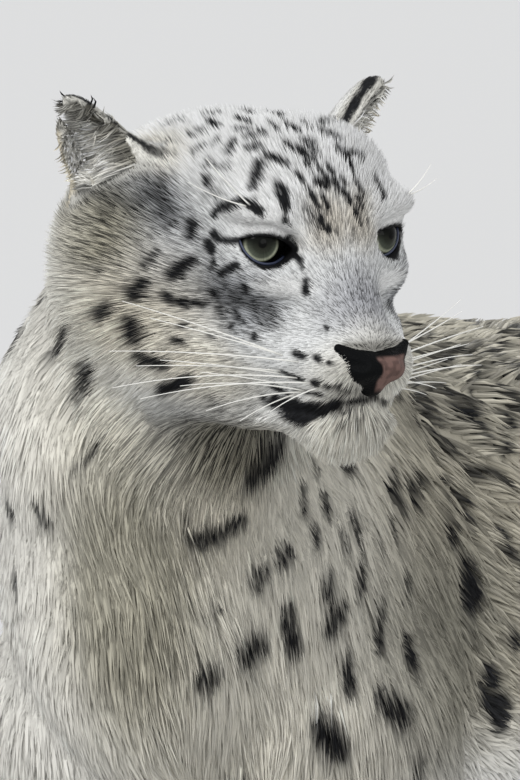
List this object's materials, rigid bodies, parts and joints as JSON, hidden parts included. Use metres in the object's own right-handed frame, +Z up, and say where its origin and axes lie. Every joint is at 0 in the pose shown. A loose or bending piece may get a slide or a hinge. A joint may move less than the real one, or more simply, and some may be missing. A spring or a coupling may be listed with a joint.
{
  "type": "snow leopard",
  "caption": "Standing snow leopard as a still, life-size museum model, head turned to its left, long tail held clear of the floor.",
  "frame": {"origin": "on the floor under the middle of the animal's overall box", "axes": "+Z up, -Y the way the body faces, +X the animal's left"},
  "size_m": [0.3542, 1.5122, 0.7098],
  "materials": {
    "coat": "dense soft fur, smoky grey to cream with black spots and rosettes",
    "nose": "bare, finely pebbled, slightly moist nose leather, black at the nostrils",
    "eye": "wet glossy eyeball with a grey-green iris and a round pupil"
  },
  "bodies": {
    "root": {"head": "coat", "nose": "nose", "eye_left": "eye", "ear_left": "coat", "eye_right": "eye", "ear_right": "coat", "neck": "coat", "torso": "coat", "foreleg_left_upper": "coat", "foreleg_left_lower": "coat", "forepaw_left": "coat", "foreleg_right_upper": "coat", "foreleg_right_lower": "coat", "forepaw_right": "coat", "hindleg_left_upper": "coat", "hindleg_left_lower": "coat", "hindleg_left_hock": "coat", "hindpaw_left": "coat", "hindleg_right_upper": "coat", "hindleg_right_lower": "coat", "hindleg_right_hock": "coat", "hindpaw_right": "coat", "tail_base": "coat", "tail_mid": "coat", "tail_lower": "coat", "tail_tip": "coat"}
  },
  "joints": []
}
